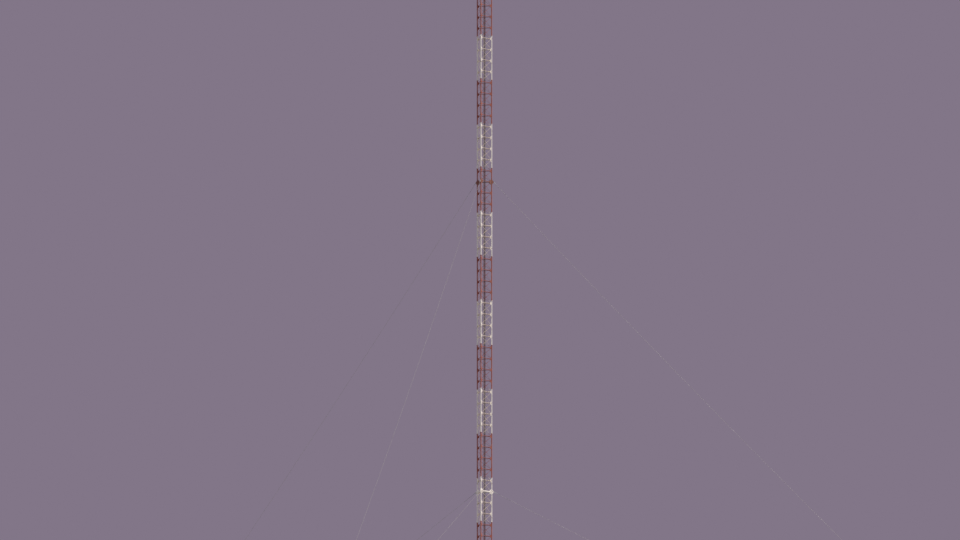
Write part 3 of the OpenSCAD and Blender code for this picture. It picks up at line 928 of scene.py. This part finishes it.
# Straps round the feeder and hooks round the ladder's stiles, on each bracket of the ladder face
lineClips = {
    **everyStrut,
    "Strap height": 0.0048,
    "Strap thickness": 0.0012,
    "Strap reach": 0.0090,
    "Strap start": radians(-54),
    "Strap sweep": radians(288),
    "Feeder out": 0.0153,
    "Face of bracket": 0.0070,
    "Ear place": 0.0095,
    "Ear length": 0.0075,
    "Ear bolt": 0.0012,
    "Stile pitch": 0.0370,
    "Stile place": -0.0098,
    "Hook width": 0.0066,
    "Hook radius": 0.0007,
    "Hook length": 0.0090,
    "Hook plate width": 0.00891,
    "Hook plate thickness": 0.0013,
    "Nut radius": 0.0019,
    "Nut height": 0.0014,
    "Grip": 0.0024,
}


def feederStrap(tree, given):
    arc = addNode(tree, "GeometryNodeCurveArc", {
        "Resolution": 20,
        "Radius": given["Strap reach"],
        "Start Angle": given["Strap start"],
        "Sweep Angle": given["Strap sweep"],
    })
    section = addNode(tree, "GeometryNodeCurvePrimitiveQuadrilateral",
                      {"Width": given["Strap thickness"], "Height": given["Strap height"]})
    band = move(tree, sweep(tree, arc, section), y=given["Feeder out"])
    ear = block(tree, given["Ear length"], given["Strap thickness"], given["Strap height"])
    ear = joinShapes(tree, ear, boltAcross(tree, given, x=given["Ear bolt"]))
    earAt = add(tree, given["Face of bracket"], halfOf(tree, given["Strap thickness"]))
    ears = repeat(tree, move(tree, ear, x=given["Ear place"]), 2, vector(tree, y=earAt), stepTurn=pi)
    return joinShapes(tree, band, ears)


def stileHooks(tree, given):
    rod = move(tree, prism(tree, given["Hook radius"], given["Hook length"]), turn=alongY)
    plate = block(tree, given["Hook plate width"], given["Hook plate thickness"], given["Strap height"])
    plate = move(tree, plate, y=times(tree, given["Hook length"], -0.5))
    hook = joinShapes(tree, pair(tree, rod, given["Hook width"]), plate)
    return pair(tree, hook, given["Stile pitch"], y=given["Stile place"])


def lineClipTree(tree, given):
    clips = joinShapes(tree, feederStrap(tree, given), stileHooks(tree, given))
    return upTheMast(tree, given, move(tree, clips, y=faceReach))


growPiece("line_clips", lineClipTree, lineClips, steel)

# Plates across the joints of the ladder's stiles
ladderPlates = {
    "Rows": 3,
    "First row": mast["foot"] + 5 * mast["section"],
    "Row pitch": 4 * mast["section"],
    "Stile pitch": 0.0370,
    "Stile place": faceReach - 0.0123,
    "Plate width": 0.0044,
    "Plate height": 0.040,
    "Plate thickness": 0.0012,
    "Bolts": 4,
    "Bolt pitch": 0.010,
    "Nut radius": 0.0016,
    "Nut height": 0.0012,
    "Grip": 0.0025,
}


def ladderPlateTree(tree, given):
    plate = block(tree, given["Plate width"], given["Plate thickness"], given["Plate height"])
    bolts = spaced(tree, boltAcross(tree, given), given["Bolts"], given["Bolt pitch"], "z")
    joint = pair(tree, joinShapes(tree, plate, bolts), given["Stile pitch"], y=given["Stile place"])
    return upTheMast(tree, given, joint)


growPiece("ladder_plates", ladderPlateTree, ladderPlates, steel)

# Holding-down bolts of the bearing plate and of the three anchor plates
plateBolts = {
    "Bolts": 8,
    "Bolt circle": 0.0640,
    "Plate top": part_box("pier")[1][2] + mast["footPlate"],
    "Washer radius": 0.0062,
    "Washer thickness": 0.0010,
    "Nut radius": 0.0046,
    "Nut height": 0.0040,
    "Stud height": 0.0095,
}
anchorBolts = {
    **plateBolts,
    "Bolts": 4,
    "Bolt circle": 0.0500,
    "Plate top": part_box("anchor_block_front")[1][2] + mast["footPlate"],
}


def plateBoltTree(tree, given):
    washer = standing(tree, given["Washer radius"], given["Washer thickness"], sides=16)
    nut = standing(tree, given["Nut radius"], given["Nut height"], given["Washer thickness"])
    studRadius = times(tree, given["Nut radius"], studShare)
    single = joinShapes(tree, washer, nut, standing(tree, studRadius, given["Stud height"], sides=12))
    bolts = ring(tree, single, given["Bolts"], given["Bolt circle"], pi / 4)
    return move(tree, bolts, z=given["Plate top"])


# Frame at one end of a guy: the pin at its origin, X along the guy
def guyFrame(level, angle, atMast, ahead=0.01):
    pin = guyPoint(level, 0.0 if atMast else 1.0)
    way = guyPoint(level, ahead if atMast else 1.0 - ahead) - pin
    tilt = Matrix.Rotation(-atan2(way.z, way.x), 4, "Y")
    return Matrix.Rotation(radians(angle), 4, "Z") @ Matrix.Translation(pin) @ tilt


def slideAlong(frames, distance):
    return [place @ Matrix.Translation((distance, 0, 0)) for place in frames]


mastFrames = [guyFrame(level, angle, True) for level in (0, 1) for angle in guys["angles"]]
anchorFrames = [guyFrame(level, angle, False) for level in (0, 1) for angle in guys["angles"]]
anchorPlaces = [Matrix.Rotation(radians(angle), 4, "Z") for angle in guys["angles"]]
anchorPlaces = slideAlong(anchorPlaces, guys["radius"])
growPiece("bearing_bolts", plateBoltTree, plateBolts, steel)
growPiece("anchor_plate_bolts", plateBoltTree, anchorBolts, steel, anchorPlaces)

# Beads along the feet of the fan plate and its rib, and where the two meet
anchorWelds = {
    "Plate top": guys["fanFoot"],
    "Plate thickness": mast["lugThickness"],
    "Fan length": 0.063,
    "Fan middle": -0.0046,
    "Rib place": -0.012,
    "Rib reach": 0.036,
    "Rib height": 0.022,
    "Bead radius": 0.0014,
    "Rib bead radius": 0.0013,
}


def anchorWeldTree(tree, given):
    half = halfOf(tree, given["Plate thickness"])
    ribLength = minus(tree, given["Rib reach"], half)
    ribMiddle = add(tree, half, halfOf(tree, ribLength))
    alongRib = move(tree, prism(tree, given["Rib bead radius"], ribLength), y=ribMiddle, turn=alongY)
    upright = move(tree, standing(tree, given["Rib bead radius"], given["Rib height"]), y=half)
    faces = pair(tree, joinShapes(tree, alongRib, upright), given["Plate thickness"])
    rib = move(tree, repeat(tree, faces, 2, stepTurn=pi), x=given["Rib place"])
    alongFan = move(tree, prism(tree, given["Bead radius"], given["Fan length"]), turn=alongX)
    fan = pair(tree, alongFan, given["Plate thickness"], "y", x=given["Fan middle"])
    return move(tree, joinShapes(tree, fan, rib), z=given["Plate top"])


growPiece("anchor_welds", anchorWeldTree, anchorWelds, steel, anchorPlaces)

# Washers and split pins at both ends of each fork pin
forkPins = {
    "Fork width": guys["forkWidth"],
    "Washer radius": 0.0046,
    "Washer thickness": 0.0008,
    "Split pin radius": 0.0005,
    "Split pin length": 0.0095,
}


def forkPinTree(tree, given):
    half = halfOf(tree, given["Fork width"])
    washerAt = add(tree, half, halfOf(tree, given["Washer thickness"]))
    splitAt = add(tree, half, add(tree, given["Washer thickness"], given["Split pin radius"]))
    washer = prism(tree, given["Washer radius"], given["Washer thickness"], sides=20)
    split = prism(tree, given["Split pin radius"], given["Split pin length"])
    end = joinShapes(tree, move(tree, washer, y=washerAt, turn=alongY), move(tree, split, y=splitAt))
    return repeat(tree, end, 2, stepTurn=pi)


growPiece("fork_pin_washers", forkPinTree, forkPins, steel, mastFrames + anchorFrames)

# Wires wrapped round the end of each guy
guyGrips = {
    "Wires": 3,
    "Turns": 11.0,
    "Length": 0.300,
    "Reach": 0.0025,
    "Wire radius": 0.0007,
    "Points per turn": 14,
}


def gripTree(tree, given):
    stepTurn = maths(tree, "DIVIDE", 2 * pi, given["Wires"])
    return repeat(tree, coil(tree, given, sides=5), given["Wires"], axis="x", stepTurn=stepTurn)


ropeEnds = slideAlong(mastFrames, guys["socketEnd"]) + slideAlong(anchorFrames, guys["turnbuckleEnd"])
growPiece("guy_grips", gripTree, guyGrips, "guy_wire", ropeEnds, steel)

# Lock nuts of the turnbuckles
buckleMiddle = (guys["turnbuckleStart"] + guys["turnbuckleEnd"]) / 2
screwNuts = {
    "Middle": buckleMiddle,
    "Nuts apart": 0.064,
    "Nut radius": 0.0038,
    "Nut height": 0.0034,
}


def screwNutTree(tree, given):
    nut = move(tree, prism(tree, given["Nut radius"], given["Nut height"]), turn=alongX)
    return move(tree, pair(tree, nut, given["Nuts apart"]), x=given["Middle"])


growPiece("turnbuckle_nuts", screwNutTree, screwNuts, steel, anchorFrames)

# Threads of the two screws where they show in a turnbuckle's slot
screwThreads = {
    "Middle": buckleMiddle,
    "Threads apart": 0.048,
    "Length": 0.0190,
    "Reach": 0.0025,
    "Turns": 28.0,
    "Points per turn": 10,
    "Wire radius": 0.00030,
}


def screwThreadTree(tree, given):
    threads = pair(tree, coil(tree, given, sides=4), given["Threads apart"])
    return move(tree, threads, x=minus(tree, given["Middle"], halfOf(tree, given["Length"])))


growPiece("turnbuckle_threads", screwThreadTree, screwThreads, steel, anchorFrames)

# Collars at the mouth of each socket
socketRings = {
    "Rings": 3,
    "First ring": 0.026,
    "Ring pitch": 0.0155,
    "Ring radius": 0.0056,
    "Ring width": 0.003,
}


def socketRingTree(tree, given):
    band = move(tree, prism(tree, given["Ring radius"], given["Ring width"], sides=24), turn=alongX)
    start = vector(tree, x=given["First ring"])
    return repeat(tree, band, given["Rings"], start, vector(tree, x=given["Ring pitch"]))


growPiece("socket_rings", socketRingTree, socketRings, steel, mastFrames)

# Ribs of the beacon's lens
beaconRibs = {
    "Rows": 8,
    "First row": topFace + 0.0690,
    "Row pitch": 0.0040,
    "Rib reach": 0.0150,
    "Rib thickness": 0.0009,
}


def beaconRibTree(tree, given):
    return upTheMast(tree, given, hoop(tree, given["Rib reach"], given["Rib thickness"], points=48))


growPiece("beacon_ribs", beaconRibTree, beaconRibs, "beacon_glass")

# Screws of the beacon's foot
beaconScrews = {
    "Screws": 6,
    "Screw circle": 0.0225,
    "Flange middle": topFace + 0.0020,
    "Nut radius": 0.0021,
    "Nut height": 0.0016,
    "Grip": 0.0040,
}


def beaconScrewTree(tree, given):
    screws = ring(tree, bolt(tree, given), given["Screws"], given["Screw circle"])
    return move(tree, screws, z=given["Flange middle"])


growPiece("beacon_screws", beaconScrewTree, beaconScrews, steel)


# Floor that fades into the backdrop at its rim, so that no edge shows
def paleFloor():
    floor = {
        "radius": 28.0,
        "segments": 96,
        "fade": (15.0, 27.0),
        "tone": (0.56, 0.54, 0.57),
        "wornShare": 0.97,
        "worn": {"scale": 0.8, "low": 0.3, "high": 0.7, "detail": 3.0},
    }
    mesh = bpy.data.meshes.new("floor")
    shape = bmesh.new()
    bmesh.ops.create_circle(shape, cap_ends=True, segments=floor["segments"], radius=floor["radius"])
    shape.to_mesh(mesh)
    shape.free()
    disc = addObject("floor", mesh)
    surface, tree, place = startSurface("floor_paint", roughness=0.9)
    shader = tree.nodes["Principled BSDF"]
    wornTone = tuple(floor["wornShare"] * part for part in floor["tone"])
    colour = mixColours(tree, clouds(tree, place, **floor["worn"]), floor["tone"], wornTone)
    tree.links.new(colour, shader.inputs["Base Color"])
    glow = addNode(tree, "ShaderNodeEmission", {"Color": (*backdropTone, 1.0), "Strength": 1.0})
    reach = vectorMaths(tree, "LENGTH", {0: place})["Value"]
    fade = remap(tree, reach, *floor["fade"], interpolation_type="SMOOTHSTEP")
    blend = addNode(tree, "ShaderNodeMixShader", {0: fade, 1: shader.outputs[0], 2: glow.outputs[0]})
    tree.links.new(blend.outputs[0], tree.nodes["Material Output"].inputs["Surface"])
    mesh.materials.append(surface)


# Backdrop colour for the camera and for reflections, even light for everything else
def paleWorld():
    light = {"colour": (0.95, 0.955, 1.0), "strength": 0.38}
    world = bpy.data.worlds.new("studio")
    bpy.context.scene.world = world
    world.use_nodes = True
    tree = world.node_tree
    tree.nodes.clear()
    rays = addNode(tree, "ShaderNodeLightPath").outputs
    mirrored = maths(tree, "MAXIMUM", rays["Is Glossy Ray"], rays["Is Transmission Ray"])
    seen = maths(tree, "MAXIMUM", rays["Is Camera Ray"], mirrored)
    even = addNode(tree, "ShaderNodeBackground",
                   {"Color": (*light["colour"], 1.0), "Strength": light["strength"]})
    plain = addNode(tree, "ShaderNodeBackground", {"Color": (*backdropTone, 1.0), "Strength": 1.0})
    blend = addNode(tree, "ShaderNodeMixShader", {0: seen, 1: even.outputs[0], 2: plain.outputs[0]})
    addNode(tree, "ShaderNodeOutputWorld", {"Surface": blend.outputs[0]})


def addSun(name, side, height, strength, spread, colour):
    lamp = bpy.data.lights.new(name, "SUN")
    lamp.energy = strength
    lamp.angle = radians(spread)
    lamp.color = colour
    holder = addObject(name, lamp)
    holder.rotation_mode = "QUATERNION"
    toLamp = towards(side, cos(radians(height)), sin(radians(height)))
    holder.rotation_quaternion = toLamp.to_track_quat("Z", "Y")


backdropTone = (0.223, 0.181, 0.246)
paleWorld()
paleFloor()
addSun("key_light", side=0, height=30, strength=3.2, spread=2.5, colour=(1.0, 0.95, 0.88))
addSun("fill_light", side=215, height=40, strength=0.15, spread=60, colour=(0.92, 0.95, 1.0))


# The photo's view: a very long lens, from below and a little to the right of the front leg
def photoCamera():
    view = {
        "azimuth": 16.0,
        "lookUp": 8.8,
        "distance": 300.0,
        "metresPerPixel": 0.02012,
        "imageWidth": 960,
        "aimHeight": 9.767,
        "mastColumn": 483.3,
        "sensorWidth": 36.0,
        "clipStart": 1.0,
        "clipEnd": 2000.0,
    }
    camera = addObject("camera", bpy.data.cameras.new("camera"))
    turn = radians(view["azimuth"])
    tilt = radians(view["lookUp"])
    forward = Vector((-sin(turn) * cos(tilt), cos(turn) * cos(tilt), sin(tilt)))
    right = Vector((cos(turn), sin(turn), 0.0))
    aside = (view["mastColumn"] - view["imageWidth"] / 2) * view["metresPerPixel"]
    aim = Vector((0.0, 0.0, view["aimHeight"])) - right * aside
    camera.location = aim - forward * view["distance"]
    camera.rotation_mode = "QUATERNION"
    camera.rotation_quaternion = forward.to_track_quat("-Z", "Y")
    seenWidth = view["imageWidth"] * view["metresPerPixel"]
    camera.data.sensor_width = view["sensorWidth"]
    camera.data.lens = view["sensorWidth"] * view["distance"] / seenWidth
    camera.data.clip_start = view["clipStart"]
    camera.data.clip_end = view["clipEnd"]
    bpy.context.scene.camera = camera


photoCamera()
bpy.context.scene.view_settings.view_transform = "Standard"
print("stage: light and camera set")
